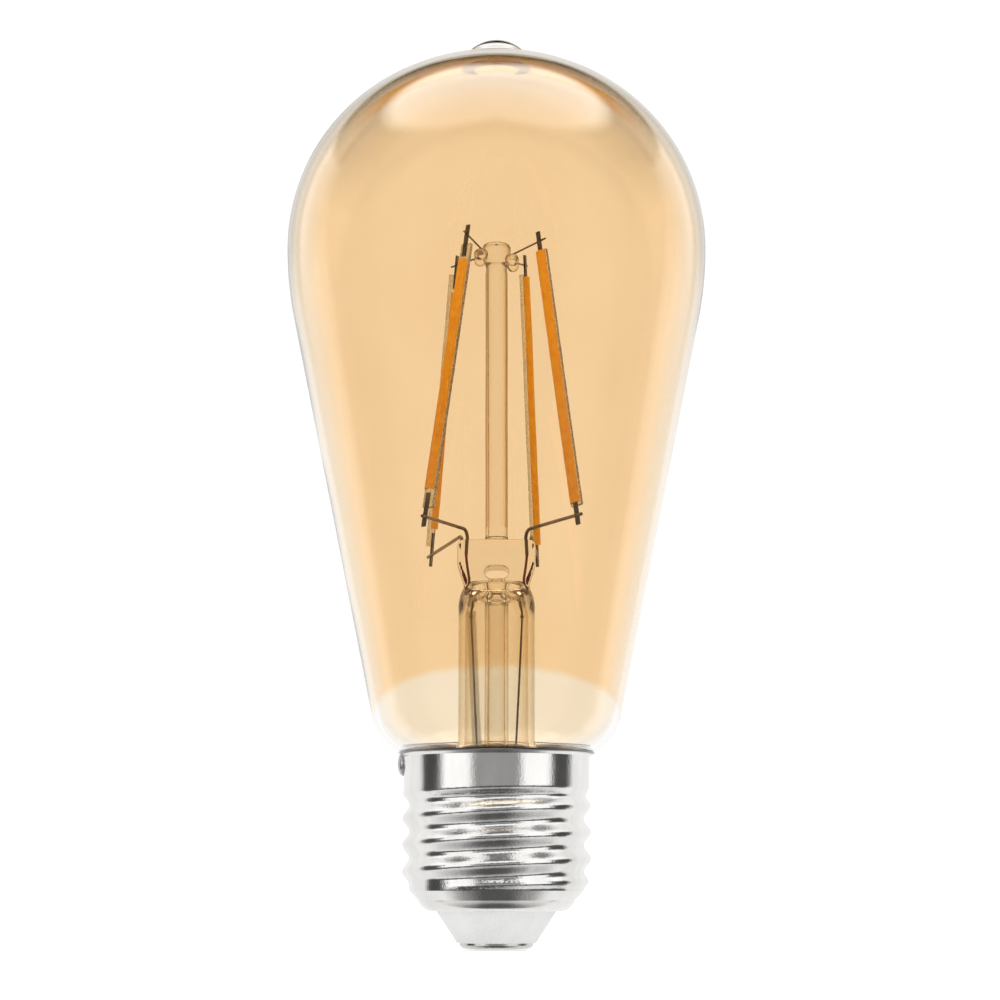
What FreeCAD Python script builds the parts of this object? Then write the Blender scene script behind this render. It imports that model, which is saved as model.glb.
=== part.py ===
import FreeCAD, Part
import math
import os
import re
import Sketcher

# A screw-cap filament lamp: glass envelope above, screw cap below, millimetres, +Z up.
# The origin is the middle of the contact disc's lower face, where the lamp would stand.

DRIVING = {
    # glass envelope
    "overall_height": 130.0,
    "bulb_radius": 29.95,
    "equator_height": 98.7,
    "crown_height": 127.2,
    "shoulder_radius": 27.9,
    "side_radius": 50.3,
    "cone_angle": 11.5,
    "cone_bottom": 32.0,
    "neck_corner": 8.0,
    "neck_radius": 12.2,
    "neck_bottom": 22.8,
    "glass_wall": 0.95,
    "nub_radius": 4.0,
    "nub_crown": 5.6,
    "nub_root": 5.6,
    "nub_blend": 2.0,
    # glass stem
    "stem_radius": 5.35,
    "stem_wall": 0.9,
    "flare_gap": 0.2,
    "stem_shoulder": 46.5,
    "stem_top": 50.3,
    "stem_waist": 4.4,
    "flare_blend": 4.5,
    "hollow_top": 49.4,
    "hollow_waist": 3.1,
    "hollow_shoulder": 2.4,
    "hollow_dip": 48.3,
    "press_overlap": 0.2,
    "press_half": 5.5,
    "press_depth": 4.6,
    "press_widest": 53.0,
    "press_top": 56.6,
    "press_corner": 0.9,
    "channel_overrun": 1.0,
    "vent_height": 51.9,
    "vent_half": 1.75,
    "vent_radius": 0.85,
    "vent_arc": 0.851,
    "bore_overrun": 0.1,
    "exhaust_radius": 1.7,
    "exhaust_bore": 1.2,
    "exhaust_bottom": 20.6,
    "rod_radius": 1.6,
    "rod_waist": 1.45,
    "rod_neck": 0.5,
    "rod_top": 95.9,
    "button_radius": 2.08,
    "button_top": 99.7,
    "button_collar": 1.75,
    "button_taper": 1.2,
    "button_edge": 0.6,
    "bead_radius": 0.95,
    "bead_x": 2.35,
    "bead_y": 1.75,
    "bead_left_height": 97.7,
    "bead_right_height": 96.9,
    # wires
    "anchor_wire_radius": 0.13,
    "anchor_rise": 0.65,
    "anchor_inset": 0.35,
    "arm_wire_radius": 0.24,
    "seal_wire_radius": 0.18,
    "lead_wire_radius": 0.15,
    "arm_front_bend": 1.3,
    "arm_back_bend": 0.7,
    "arm_straight": 0.15,
    "wire_overhang": 1.0,
    "eye_share": 0.5,
    "seal_top": 54.3,
    "seal_bottom": 49.2,
    "seal_front_x": 4.1,
    "seal_back_x": 4.9,
    "seal_y": 1.2,
    "seal_foot_x": 3.5,
    "seal_foot_y": 0.8,
    "knot_height": 45.9,
    "knot_x": 3.6,
    "knot_radius": 0.3,
    "knot_turn": 50.0,
    "lead_foot": 20.3,
    "lead_foot_x": 2.6,
    "lead_bend": 12.0,
    "lead_straight": 4.0,
    "sleeve_radius": 0.7,
    "sleeve_bore": 0.55,
    "sleeve_length": 20.0,
    "sleeve_rise": 0.9,
    # filaments
    "filament_length": 39.8,
    "strip_width": 1.6,
    "strip_thick": 0.55,
    "coat_width": 1.45,
    "coat_height": 0.8,
    "coat_radius": 0.85,
    "chip_width": 0.8,
    "chip_thick": 0.25,
    "chip_length": 0.9,
    "chip_pitch": 1.3,
    "chip_margin": 2.8,
    "bare_end_left": 2.6,
    "bare_end_right": 0.3,
    "tab_length": 2.9,
    "tab_width": 0.62,
    "tab_thick": 0.25,
    "tab_foot": 2.0,
    "front_middle": 78.9,
    "back_middle": 77.0,
    # screw cap
    "thread_crest": 13.05,
    "thread_root": 12.1,
    "thread_pitch": 3.629,
    "thread_start": 19.57,
    "thread_bottom": 7.9,
    "thread_top": 22.2,
    "thread_fade": 1.8,
    "thread_stations": 48,
    "thread_rows_per_pitch": 14,
    "skirt_radius": 12.9,
    "skirt_seat": 23.4,
    "skirt_top": 26.2,
    "skirt_wide": 12.95,
    "rim_radius": 13.45,
    "rim_top": 27.1,
    "rim_curl": 0.45,
    "sheet_thick": 0.32,
    "lip_radius": 8.3,
    "lip_bottom": 5.1,
    "lip_width": 1.0,
    "taper_radius": 10.9,
    "taper_height": 6.6,
    "taper_blend": 2.6,
    "contact_radius": 5.1,
    "contact_land": 4.2,
    "contact_thick": 0.8,
    "contact_rise": 0.5,
    "insulator_foot": 5.45,
    "insulator_flange": 10.2,
    "insulator_top": 8.0,
    "insulator_bore": 0.7,
    "insulator_wall": 1.6,
    "insulator_floor": 2.4,
    "cement_bottom": 23.0,
    "cement_top": 26.0,
    "cement_gap": 8.0,
    "solder_height": 25.3,
    "solder_tall": 1.7,
    "solder_wide": 1.25,
    "solder_deep": 0.85,
    # driver in the cap
    "board_width": 17.0,
    "board_height": 11.0,
    "board_thick": 1.0,
    "board_bottom": 9.2,
    "board_sleeve_radius": 11.3,
    "board_sleeve_wall": 0.25,
    "board_sleeve_drop": 0.7,
    "capacitor_radius": 3.15,
    "capacitor_length": 8.5,
    "choke_radius": 2.4,
    "choke_height": 4.2,
    "resistor_radius": 1.1,
    "resistor_length": 4.6,
    "package_thick": 1.5,
    "package_height": 3.9,
    "package_x": -7.4,
    "bridge_length": 4.7,
    "bridge_rise": 1.0,
    "driver_chip_length": 4.9,
    "driver_chip_rise": 6.0,
    "capacitor_rise": 0.6,
    "capacitor_x": -2.5,
    "choke_x": 5.2,
    "choke_rise": 1.0,
    "resistor_x": -3.0,
    "resistor_drop": 1.0,
    "radio_x": 1.4,
    "radio_rise": 1.5,
    "radio_width": 6.5,
    "radio_height": 8.0,
    "radio_thick": 0.8,
    "hook_wire_radius": 0.18,
    "hook_drop": 1.0,
    "hook_gap": 0.6,
    "hook_tuck": 0.3,
}

# Where each filament's middle line passes at its top and bottom end: x and y of both.
FILAMENTS = {
    "front_left": {"top": (-4.3, -5.5), "bottom": (-9.35, -13.0), "middle": "front_middle", "turn": -35.0},
    "front_right": {"top": (6.3, -3.0), "bottom": (10.7, -13.0), "middle": "front_middle", "turn": -35.0},
    "back_left": {"top": (-6.1, 6.5), "bottom": (-9.55, 11.0), "middle": "back_middle", "turn": 65.0},
    "back_right": {"top": (4.15, 6.5), "bottom": (5.8, 11.0), "middle": "back_middle", "turn": 65.0},
}

document = FreeCAD.newDocument("filament_lamp")
sheet = document.addObject("Spreadsheet::Sheet", "Sizes")
size = {}


def put_in_sheet(values):
    """Write named plain numbers below the last row of the sheet."""
    for alias, value in values.items():
        row = len(size) + 1
        sheet.set(f"A{row}", alias)
        sheet.set(f"B{row}", f"{value:.6f}")
        sheet.setAlias(f"B{row}", alias)
        size[alias] = value


def derived_sizes():
    """Tangent points and radii of the arcs, from the driving sizes."""
    angle = math.radians(size["cone_angle"])
    rise = size["crown_height"] - size["equator_height"]
    shoulder_x = size["bulb_radius"] - size["shoulder_radius"]
    shoulder = size["shoulder_radius"]
    crown = (shoulder_x ** 2 + rise ** 2 - shoulder ** 2) / (2 * (rise - shoulder))
    share = shoulder / (crown - shoulder)
    side_x = size["bulb_radius"] - size["side_radius"] * (1 - math.cos(angle))
    side_z = size["equator_height"] - size["side_radius"] * math.sin(angle)
    cone_x = side_x - (side_z - size["cone_bottom"]) * math.tan(angle)
    corner_x = cone_x - size["neck_corner"] * math.cos(angle)
    corner_z = size["cone_bottom"] + size["neck_corner"] * math.sin(angle)
    inner_corner = size["neck_corner"] - size["glass_wall"]
    inner_neck = size["neck_radius"] - size["glass_wall"]
    crown_centre = size["crown_height"] - crown
    return {
        "crown_radius": crown,
        "join_x": shoulder_x * (1 + share),
        "join_z": size["equator_height"] + (crown - rise) * share,
        "shoulder_x": shoulder_x,
        "side_x": side_x,
        "side_z": side_z,
        "cone_x": cone_x,
        "wall_x": size["glass_wall"] * math.cos(angle),
        "wall_z": size["glass_wall"] * math.sin(angle),
        "neck_arc_z": corner_z - math.sqrt(size["neck_corner"] ** 2 - (size["neck_radius"] - corner_x) ** 2),
        "inner_arc_z": corner_z - math.sqrt(inner_corner ** 2 - (inner_neck - corner_x) ** 2),
        "nub_z": size["overall_height"] - size["nub_crown"]
        + math.sqrt(size["nub_crown"] ** 2 - size["nub_radius"] ** 2),
        "nub_root_z": crown_centre + math.sqrt(crown ** 2 - size["nub_root"] ** 2),
        "contact_edge": ((size["contact_radius"] - size["contact_land"]) ** 2 + size["contact_rise"] ** 2)
        / (2 * size["contact_rise"]),
    }


def tie(text):
    """Turn plain size names in a formula into references to the sheet's cells."""
    return re.sub(r"[a-z_]+", lambda word: f"Sizes.{word[0]}" if word[0] in size else word[0], text)


def number(text):
    """Value of a formula of size names."""
    return float(sheet.evalExpression(tie(text)))


def new_body(label):
    body = document.addObject("PartDesign::Body", label)
    body.Label = label
    return body


def new_sketch(body, name, role, offset=None):
    """A sketch on one of the body's own origin planes, moved off it by a formula."""
    sketch = body.newObject("Sketcher::SketchObject", name)
    plane = next(item for item in body.Origin.OriginFeatures if item.Role == role)
    sketch.AttachmentSupport = [(plane, "")]
    sketch.MapMode = "FlatFace"
    if offset:
        sketch.setExpression("AttachmentOffset.Base.z", tie(offset))
    return sketch


def pin_point(sketch, edge, end, corner):
    """Hold a point at the place that two formulas give."""
    kinds = (("DistanceX", "-2"), ("DistanceY", "-1"))
    for (kind, axis), formula in zip(kinds, corner):
        if formula == "0":
            sketch.addConstraint(Sketcher.Constraint("PointOnObject", edge, end, int(axis)))
            continue
        index = sketch.addConstraint(Sketcher.Constraint(kind, -1, 1, edge, end, number(formula)))
        sketch.setExpression(f"Constraints[{index}]", tie(formula))


def arc_between(start, finish, radius, turn):
    """Arc from start to finish; turn is +1 with its centre to the left, -1 to the right."""
    middle = (start + finish) / 2
    half = (finish - start).Length / 2
    along = (finish - start) / (2 * half)
    left = FreeCAD.Vector(-along.y, along.x, 0)
    centre = middle + left * turn * math.sqrt(max(radius ** 2 - half ** 2, 0))
    first = math.atan2(start.y - centre.y, start.x - centre.x)
    last = math.atan2(finish.y - centre.y, finish.x - centre.x)
    if turn < 0:
        first, last = last, first
    circle = Part.Circle(centre, FreeCAD.Vector(0, 0, 1), radius)
    return Part.ArcOfCircle(circle, first, last)


def draw_outline(sketch, corners, arcs=None, closed=True, about_axis=False):
    """Draw lines and arcs through corners given as formulas; arcs maps a corner to (radius, turn)."""
    arcs = arcs or {}
    points = [FreeCAD.Vector(number(x), number(y), 0) for x, y in corners]
    count = len(corners) if closed else len(corners) - 1
    ends = []
    for index in range(count):
        start = points[index]
        finish = points[(index + 1) % len(points)]
        if index in arcs:
            formula, turn = arcs[index]
            edge = sketch.addGeometry(arc_between(start, finish, number(formula), turn), False)
            ends.append((edge, 1, 2) if turn > 0 else (edge, 2, 1))
        else:
            edge = sketch.addGeometry(Part.LineSegment(start, finish), False)
            ends.append((edge, 1, 2))
    for index, (edge, first, last) in enumerate(ends):
        if closed or index + 1 < count:
            following = ends[(index + 1) % count]
            sketch.addConstraint(Sketcher.Constraint("Coincident", edge, last, following[0], following[1]))
        pin_point(sketch, edge, first, corners[index])
        if index not in arcs:
            continue
        if about_axis and "0" in (corners[index][0], corners[(index + 1) % len(corners)][0]):
            # an arc that meets the axis it is turned about is centred on it
            sketch.addConstraint(Sketcher.Constraint("PointOnObject", edge, 3, -2))
            continue
        formula = arcs[index][0]
        radius = sketch.addConstraint(Sketcher.Constraint("Radius", edge, number(formula)))
        sketch.setExpression(f"Constraints[{radius}]", tie(formula))
    if not closed:
        pin_point(sketch, ends[-1][0], ends[-1][2], corners[-1])


def draw_circle(sketch, centre, radius):
    """A circle whose centre and radius are formulas."""
    middle = FreeCAD.Vector(number(centre[0]), number(centre[1]), 0)
    edge = sketch.addGeometry(Part.Circle(middle, FreeCAD.Vector(0, 0, 1), number(radius)), False)
    pin_point(sketch, edge, 3, centre)
    index = sketch.addConstraint(Sketcher.Constraint("Radius", edge, number(radius)))
    sketch.setExpression(f"Constraints[{index}]", tie(radius))


def revolve(body, name, corners, arcs=None, angle=360.0):
    """Turn a closed outline in the XZ plane about the Z axis."""
    sketch = new_sketch(body, f"{name}_outline", "XZ_Plane")
    draw_outline(sketch, corners, arcs, about_axis=True)
    feature = body.newObject("PartDesign::Revolution", name)
    feature.Profile = sketch
    feature.ReferenceAxis = (sketch, ["V_Axis"])
    feature.Angle = angle
    body.Tip = feature
    return feature


def turned(label, corners, arcs=None, angle=360.0):
    """A body made by one revolution."""
    body = new_body(label)
    revolve(body, f"{label}_turn", corners, arcs, angle)
    return body


def pad(body, name, role, corners, arcs, length, offset=None, both_ways=False):
    """Pad a closed outline on an origin plane."""
    sketch = new_sketch(body, f"{name}_outline", role, offset)
    draw_outline(sketch, corners, arcs)
    feature = body.newObject("PartDesign::Pad", name)
    feature.Profile = sketch
    feature.setExpression("Length", tie(length))
    feature.Midplane = both_ways
    body.Tip = feature
    return feature


def block(label, width, depth, height, corner):
    """A box of three formulas, with its lowest corner at three formulas."""
    box = document.addObject("Part::Box", label)
    box.Label = label
    for side, formula in zip(("Length", "Width", "Height"), (width, depth, height)):
        box.setExpression(side, tie(formula))
    for axis, formula in zip("xyz", corner):
        box.setExpression(f"Placement.Base.{axis}", tie(formula))
    return box


def post(label, radius, start, finish):
    """A round bar between two points, with its radius from the sheet."""
    bar = document.addObject("Part::Cylinder", label)
    bar.Label = label
    bar.setExpression("Radius", tie(radius))
    direction = finish - start
    bar.Height = direction.Length
    bar.Placement = FreeCAD.Placement(start, FreeCAD.Rotation(FreeCAD.Vector(0, 0, 1), direction))
    return bar


def fused(label, pieces):
    """Join pieces that are melted or welded together."""
    joined = document.addObject("Part::MultiFuse", label)
    joined.Label = label
    joined.Shapes = pieces
    return joined


def cut_out(label, base, tool):
    """Take the tool's space out of a piece."""
    cut = document.addObject("Part::Cut", label)
    cut.Label = label
    cut.Base = base
    cut.Tool = tool
    return cut


def filament_frame(name):
    """Middle of a filament, its upward direction and the turned frame that its strip lies in."""
    place = FILAMENTS[name]
    lean = FreeCAD.Vector(place["top"][0] - place["bottom"][0], place["top"][1] - place["bottom"][1], 0)
    upward = FreeCAD.Vector(lean.x, lean.y, math.sqrt(size["filament_length"] ** 2 - lean.Length ** 2))
    middle = FreeCAD.Vector(
        (place["top"][0] + place["bottom"][0]) / 2,
        (place["top"][1] + place["bottom"][1]) / 2,
        size[place["middle"]],
    )
    upright = FreeCAD.Rotation(FreeCAD.Vector(0, 0, 1), upward)
    return FreeCAD.Placement(middle, upright * FreeCAD.Rotation(FreeCAD.Vector(0, 0, 1), place["turn"]))


def filament_point(name, distance):
    """Point on a filament's middle line, at a distance above its middle."""
    return filament_frame(name).multVec(FreeCAD.Vector(0, 0, distance))


def side_of(name):
    return -1 if "left" in name else 1


def depth_of(name):
    return -1 if "front" in name else 1


def glass_bulb():
    """Blown envelope: neck, rounded lower corner, cone, widest part, dome and solid nub."""
    corners = [
        ("neck_radius - glass_wall", "neck_bottom"),
        ("neck_radius", "neck_bottom"),
        ("neck_radius", "neck_arc_z"),
        ("cone_x", "cone_bottom"),
        ("side_x", "side_z"),
        ("bulb_radius", "equator_height"),
        ("join_x", "join_z"),
        ("nub_root", "nub_root_z"),
        ("nub_radius", "nub_z"),
        ("0", "overall_height"),
        ("0", "crown_height - glass_wall"),
        ("join_x * (shoulder_radius - glass_wall) / shoulder_radius"
         " + shoulder_x * glass_wall / shoulder_radius",
         "equator_height + (join_z - equator_height) * (shoulder_radius - glass_wall) / shoulder_radius"),
        ("bulb_radius - glass_wall", "equator_height"),
        ("side_x - wall_x", "side_z + wall_z"),
        ("cone_x - wall_x", "cone_bottom + wall_z"),
        ("neck_radius - glass_wall", "inner_arc_z"),
    ]
    arcs = {
        2: ("neck_corner", 1),
        4: ("side_radius", 1),
        5: ("shoulder_radius", 1),
        6: ("crown_radius", 1),
        7: ("nub_blend", -1),
        8: ("nub_crown", 1),
        10: ("crown_radius - glass_wall", -1),
        11: ("shoulder_radius - glass_wall", -1),
        12: ("side_radius - glass_wall", -1),
        14: ("neck_corner - glass_wall", -1),
    }
    return turned("glass_bulb", corners, arcs)


def stem_blank():
    """Flare tube closed by the pinched press, with the vent that the bulb is pumped through."""
    body = new_body("stem_blank")
    tube_corners = [
        ("neck_radius - glass_wall", "neck_bottom + flare_gap"),
        ("neck_radius - glass_wall", "neck_bottom + flare_gap + stem_wall"),
        ("stem_radius + flare_blend", "neck_bottom + flare_gap + stem_wall"),
        ("stem_radius", "neck_bottom + flare_gap + stem_wall + flare_blend"),
        ("stem_radius", "stem_shoulder"),
        ("stem_waist", "stem_top"),
        ("0", "stem_top"),
        ("0", "hollow_dip"),
        ("exhaust_radius", "hollow_dip"),
        ("hollow_shoulder", "hollow_top"),
        ("hollow_waist", "hollow_top"),
        ("stem_radius - stem_wall", "stem_shoulder"),
        ("stem_radius - stem_wall", "neck_bottom + flare_gap + stem_wall + flare_blend"),
        ("stem_radius + flare_blend", "neck_bottom + flare_gap"),
    ]
    tube_arcs = {
        2: ("flare_blend", -1),
        4: ("stem_radius", 1),
        10: ("stem_radius", -1),
        12: ("flare_blend + stem_wall", 1),
    }
    revolve(body, "stem_tube", tube_corners, tube_arcs)
    press_corners = [
        ("-stem_waist", "hollow_top + press_overlap"),
        ("stem_waist", "hollow_top + press_overlap"),
        ("press_half", "press_widest"),
        ("press_half", "press_top - press_corner"),
        ("press_half - press_corner", "press_top"),
        ("press_corner - press_half", "press_top"),
        ("-press_half", "press_top - press_corner"),
        ("-press_half", "press_widest"),
    ]
    press_arcs = {3: ("press_corner", 1), 5: ("press_corner", 1)}
    pad(body, "press", "XZ_Plane", press_corners, press_arcs, "press_depth", both_ways=True)
    vent_corners = [
        ("vent_radius - vent_half", "vent_height - vent_radius"),
        ("vent_half - vent_radius", "vent_height - vent_radius"),
        ("vent_half - vent_radius", "vent_height + vent_radius"),
        ("vent_radius - vent_half", "vent_height + vent_radius"),
    ]
    vent_sketch = new_sketch(body, "vent_outline", "XZ_Plane")
    draw_outline(vent_sketch, vent_corners, {1: ("vent_arc", 1), 3: ("vent_arc", 1)})
    vent = body.newObject("PartDesign::Pocket", "vent")
    vent.Profile = vent_sketch
    vent.setExpression("Length", tie("press_depth * 2"))
    vent.Midplane = True
    bore_sketch = new_sketch(body, "bore_outline", "XY_Plane", "vent_height")
    draw_circle(bore_sketch, ("0", "0"), "exhaust_bore")
    bore = body.newObject("PartDesign::Pocket", "vent_bore")
    bore.Profile = bore_sketch
    bore.setExpression("Length", tie("vent_height - hollow_dip + bore_overrun"))
    body.Tip = bore
    return body


def seal_point(name, top):
    """Upper or lower end of the wire strand that feeds one filament through the press."""
    if top:
        reach = size["seal_front_x"] if "front" in name else size["seal_back_x"]
        return FreeCAD.Vector(side_of(name) * reach, depth_of(name) * size["seal_y"], size["seal_top"])
    return FreeCAD.Vector(
        side_of(name) * size["seal_foot_x"], depth_of(name) * size["seal_foot_y"], size["seal_bottom"]
    )


def arm_root(name, height):
    """Point on the upright part of a lower arm, which stands on its seal strand."""
    point = seal_point(name, True)
    point.z = height
    return point


def stem_flare():
    """The stem glass with a hole melted round each wire that passes the press."""
    channels = []
    for name in FILAMENTS:
        channels.append(post(f"seal_channel_{name}", "seal_wire_radius", seal_point(name, True),
                             seal_point(name, False)))
        channels.append(post(f"arm_channel_{name}", "arm_wire_radius", seal_point(name, True),
                             arm_root(name, size["press_top"] + size["channel_overrun"])))
    return cut_out("stem_flare", stem_blank(), fused("wire_channels", channels))


def seal_wires(side):
    """Two red copper-clad strands that the press glass seals to."""
    strands = [
        post(f"seal_strand_{name}", "seal_wire_radius", seal_point(name, True), seal_point(name, False))
        for name in FILAMENTS if side in name
    ]
    group = document.addObject("Part::Compound", f"seal_wires_{side}")
    group.Label = f"seal_wires_{side}"
    group.Links = strands
    return group


def exhaust_tube():
    """Pump tube inside the flare, melted shut at its lower end."""
    corners = [
        ("0", "exhaust_bottom"),
        ("exhaust_radius", "exhaust_bottom + exhaust_radius"),
        ("exhaust_radius", "hollow_dip"),
        ("exhaust_bore", "hollow_dip"),
        ("exhaust_bore", "exhaust_bottom + exhaust_radius"),
        ("0", "exhaust_bottom + exhaust_radius - exhaust_bore"),
    ]
    arcs = {0: ("exhaust_radius", 1), 4: ("exhaust_bore", -1)}
    return turned("exhaust_tube", corners, arcs)


def support_rod():
    """Solid glass rod standing on the press, drawn thin under its button."""
    corners = [
        ("0", "press_top"),
        ("rod_radius", "press_top"),
        ("rod_radius", "rod_top - rod_neck"),
        ("rod_waist", "rod_top"),
        ("0", "rod_top"),
    ]
    return turned("support_rod", corners)


def rod_button():
    """Round glass button that the top wires are melted into."""
    corners = [
        ("0", "rod_top"),
        ("rod_waist", "rod_top"),
        ("button_collar", "rod_top + button_taper"),
        ("button_radius", "rod_top + button_taper + button_edge"),
        ("button_radius", "button_top - button_edge"),
        ("button_radius - button_edge", "button_top"),
        ("0", "button_top"),
    ]
    return turned("rod_button", corners, {4: ("button_edge", 1)})


def bead_centre(name):
    height = size["bead_left_height"] if "left" in name else size["bead_right_height"]
    return FreeCAD.Vector(side_of(name) * size["bead_x"], depth_of(name) * size["bead_y"], height)


def anchor_root(name):
    """Start of a top wire, in the upper part of its bead."""
    return bead_centre(name) + FreeCAD.Vector(-side_of(name) * size["anchor_inset"], 0, size["anchor_rise"])


def anchor_tip(name):
    """End of a top wire, a little beyond the filament's top tab."""
    eye = filament_point(name, size["filament_length"] / 2 + size["tab_length"] * size["eye_share"])
    return eye + (eye - anchor_root(name)).normalize() * size["wire_overhang"]


def rod_bead(name):
    """Glass bead that grips one top wire at the side of the button."""
    ball = document.addObject("Part::Sphere", f"bead_ball_{name}")
    ball.setExpression("Radius", tie("bead_radius"))
    down = FreeCAD.Vector(0, 0, -1)
    seam_down = FreeCAD.Rotation(down, FreeCAD.Vector(-1, 0, 0), FreeCAD.Vector(0, 1, 0), "ZXY")
    ball.Placement = FreeCAD.Placement(bead_centre(name), seam_down)
    wire = post(f"bead_channel_{name}", "anchor_wire_radius", anchor_root(name), anchor_tip(name))
    core = document.addObject("Part::Cylinder", f"bead_seat_{name}")
    core.setExpression("Radius", tie("button_radius"))
    core.setExpression("Height", tie("button_top - rod_top"))
    core.setExpression("Placement.Base.z", tie("rod_top"))
    return cut_out(f"rod_bead_{name}", ball, fused(f"bead_tools_{name}", [wire, core]))


def anchor_wire(name):
    """Straight top wire from its bead to the filament's top tab."""
    return post(f"anchor_wire_{name}", "anchor_wire_radius", anchor_root(name), anchor_tip(name))


def tangent_point(bend, straight, reach, rise):
    """Where a wire leaves its bend to run straight to a point at reach and rise."""
    across = reach - bend
    up = rise - straight
    distance = math.hypot(across, up)
    angle = math.atan2(up, across) + math.acos(bend / distance)
    return bend + bend * math.cos(angle), straight + bend * math.sin(angle)


def bent_wire(label, radius, bend, straight, foot, target):
    """A wire that rises from its foot, bends over and runs straight to its target."""
    reach = math.hypot(target.x - foot.x, target.y - foot.y)
    rise = target.z - foot.z
    turn_x, turn_z = tangent_point(size[bend], size[straight], reach, rise)
    put_in_sheet({
        f"{label}_reach": reach,
        f"{label}_rise": rise,
        f"{label}_turn_x": turn_x,
        f"{label}_turn_z": turn_z,
    })
    document.recompute()
    body = new_body(label)
    path = new_sketch(body, f"{label}_path", "XZ_Plane")
    corners = [
        ("0", "0"),
        ("0", straight),
        (f"{label}_turn_x", f"{label}_turn_z"),
        (f"{label}_reach", f"{label}_rise"),
    ]
    draw_outline(path, corners, {1: (bend, -1)}, closed=False)
    section = new_sketch(body, f"{label}_section", "XY_Plane")
    draw_circle(section, ("0", "0"), radius)
    pipe = body.newObject("PartDesign::AdditivePipe", f"{label}_pipe")
    pipe.Profile = section
    pipe.Spine = (path, ["Edge1", "Edge2", "Edge3"])
    body.Tip = pipe
    azimuth = math.degrees(math.atan2(target.y - foot.y, target.x - foot.x))
    body.Placement = FreeCAD.Placement(foot, FreeCAD.Rotation(FreeCAD.Vector(0, 0, 1), azimuth))
    return body


def support_arm(name):
    """Nickel wire from the seal, out of the press and across to the filament's bottom tab."""
    eye = filament_point(name, -size["filament_length"] / 2 - size["tab_length"] * size["eye_share"])
    foot = arm_root(name, size["press_top"])
    outward = FreeCAD.Vector(eye.x - foot.x, eye.y - foot.y, 0).normalize()
    bend = "arm_front_bend" if "front" in name else "arm_back_bend"
    bent = bent_wire(f"arm_{name}", "arm_wire_radius", bend, "arm_straight", foot,
                     eye + outward * size["wire_overhang"])
    upright = post(f"arm_upright_{name}", "arm_wire_radius", seal_point(name, True), foot)
    return fused(f"support_arm_{name}", [upright, bent])


def lead_wire(side):
    """Lead from the board to the knot under the press, where the seal strands join it."""
    sign = side_of(side)
    foot = FreeCAD.Vector(sign * size["lead_foot_x"], 0, size["lead_foot"])
    knot = FreeCAD.Vector(sign * size["knot_x"], 0, size["knot_height"])
    pieces = [bent_wire(f"lead_{side}", "lead_wire_radius", "lead_bend", "lead_straight", foot, knot)]
    ball = document.addObject("Part::Sphere", f"knot_{side}")
    ball.setExpression("Radius", tie("knot_radius"))
    ball.Placement = FreeCAD.Placement(knot, FreeCAD.Rotation(FreeCAD.Vector(0, 1, 0), size["knot_turn"]))
    pieces.append(ball)
    for name in FILAMENTS:
        if side in name:
            top = seal_point(name, False)
            low = knot + (top - knot).normalize() * size["knot_radius"] / 2
            pieces.append(post(f"knot_strand_{name}", "lead_wire_radius", low, top))
    return fused(f"lead_wire_{side}", pieces)


def lead_sleeve():
    """Pale insulating tube slipped over the left lead inside the flare."""
    foot = FreeCAD.Vector(-size["lead_foot_x"], 0, size["lead_foot"])
    knot = FreeCAD.Vector(-size["knot_x"], 0, size["knot_height"])
    turn_x, turn_z = tangent_point(size["lead_bend"], size["lead_straight"], abs(knot.x - foot.x),
                                   knot.z - foot.z)
    along = (knot - FreeCAD.Vector(foot.x - turn_x, 0, foot.z + turn_z)).normalize()
    top = knot + along * size["sleeve_rise"]
    low = top - along * size["sleeve_length"]
    tube = post("sleeve_tube", "sleeve_radius", low, top)
    bore = post("sleeve_inside", "sleeve_bore", low - along, top + along)
    return cut_out("lead_sleeve", tube, bore)


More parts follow.
